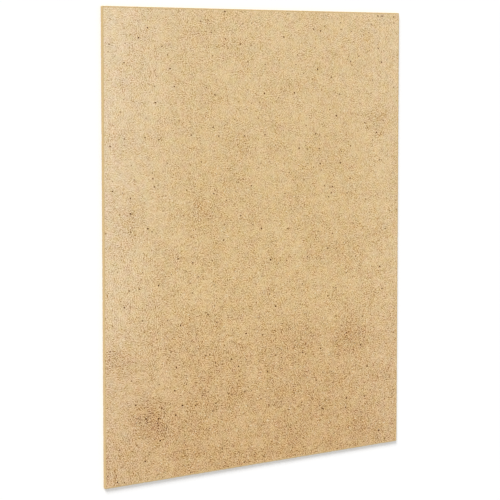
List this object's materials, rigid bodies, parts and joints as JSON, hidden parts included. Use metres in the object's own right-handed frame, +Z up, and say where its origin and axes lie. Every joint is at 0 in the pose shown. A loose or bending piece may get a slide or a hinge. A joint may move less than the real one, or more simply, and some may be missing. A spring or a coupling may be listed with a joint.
{
  "type": "mdf board",
  "caption": "Thin flat rectangular panel of medium-density fibreboard with sawn square edges, for backing, templates, shelving infill and craft work.",
  "frame": {"origin": "middle of the underside, on the surface that the panel lies on", "axes": "+X across the panel's width, +Y along its length, +Z up through its thickness, out of the upper face"},
  "size_m": [0.3, 0.4, 0.003],
  "materials": {
    "fibreboard": "raw sanded faces, matt, with sawn edges"
  },
  "bodies": {
    "root": {"board": "fibreboard"}
  },
  "joints": []
}
